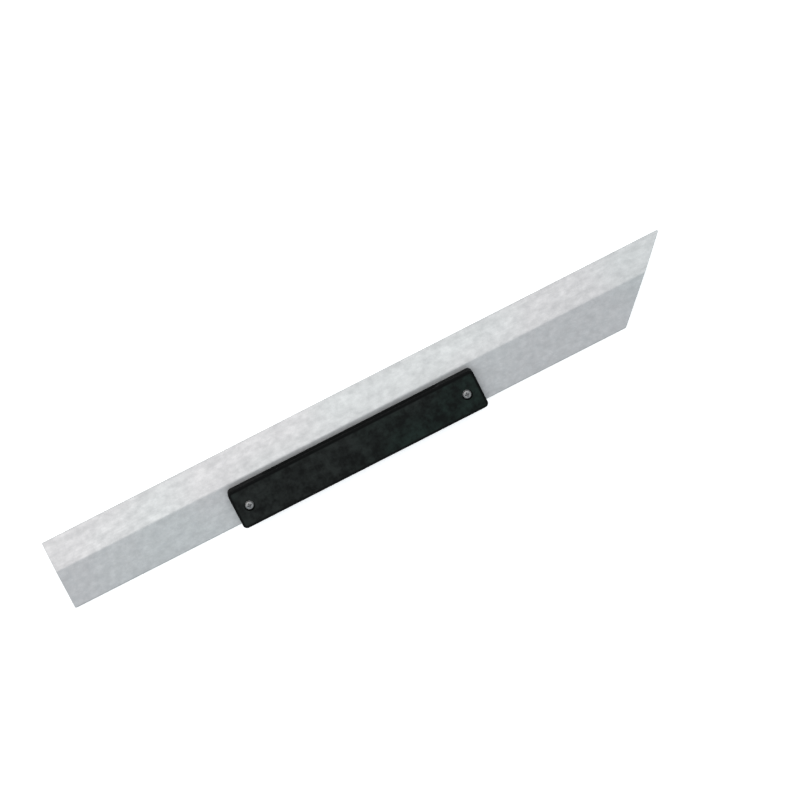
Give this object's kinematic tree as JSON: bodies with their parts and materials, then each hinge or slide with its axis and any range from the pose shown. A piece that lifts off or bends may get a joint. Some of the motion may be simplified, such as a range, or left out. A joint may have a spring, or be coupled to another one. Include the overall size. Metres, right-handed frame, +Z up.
{
  "type": "magnesium slicker float",
  "caption": "Long bevelled magnesium hand float with one square end, one 45 degree mitred end and a low black grip bolted along its spine.",
  "frame": {"origin": "on the flat working face, under the centre of the whole tool's bounding box", "axes": "+X along the blade from its square end to its mitred end, +Y across it from the spine to the thin bevelled edge, +Z up out of the blade towards the grip's top"},
  "size_m": [0.6096, 0.068, 0.0264],
  "materials": {
    "magnesium": "extruded magnesium, satin, with faint die lines along its length and a mottled dull oxide",
    "grip_plastic": "black moulded polypropylene with a fine grain and a thin grey haze on top",
    "plated_steel": "zinc plate dulled by use"
  },
  "bodies": {
    "root": {"blade": "magnesium", "grip": "grip_plastic", "screw_square_end": "plated_steel", "screw_mitre_end": "plated_steel", "washer_square_end": "plated_steel", "washer_mitre_end": "plated_steel", "barrel_nut_square_end": "plated_steel", "barrel_nut_mitre_end": "plated_steel"}
  },
  "joints": []
}
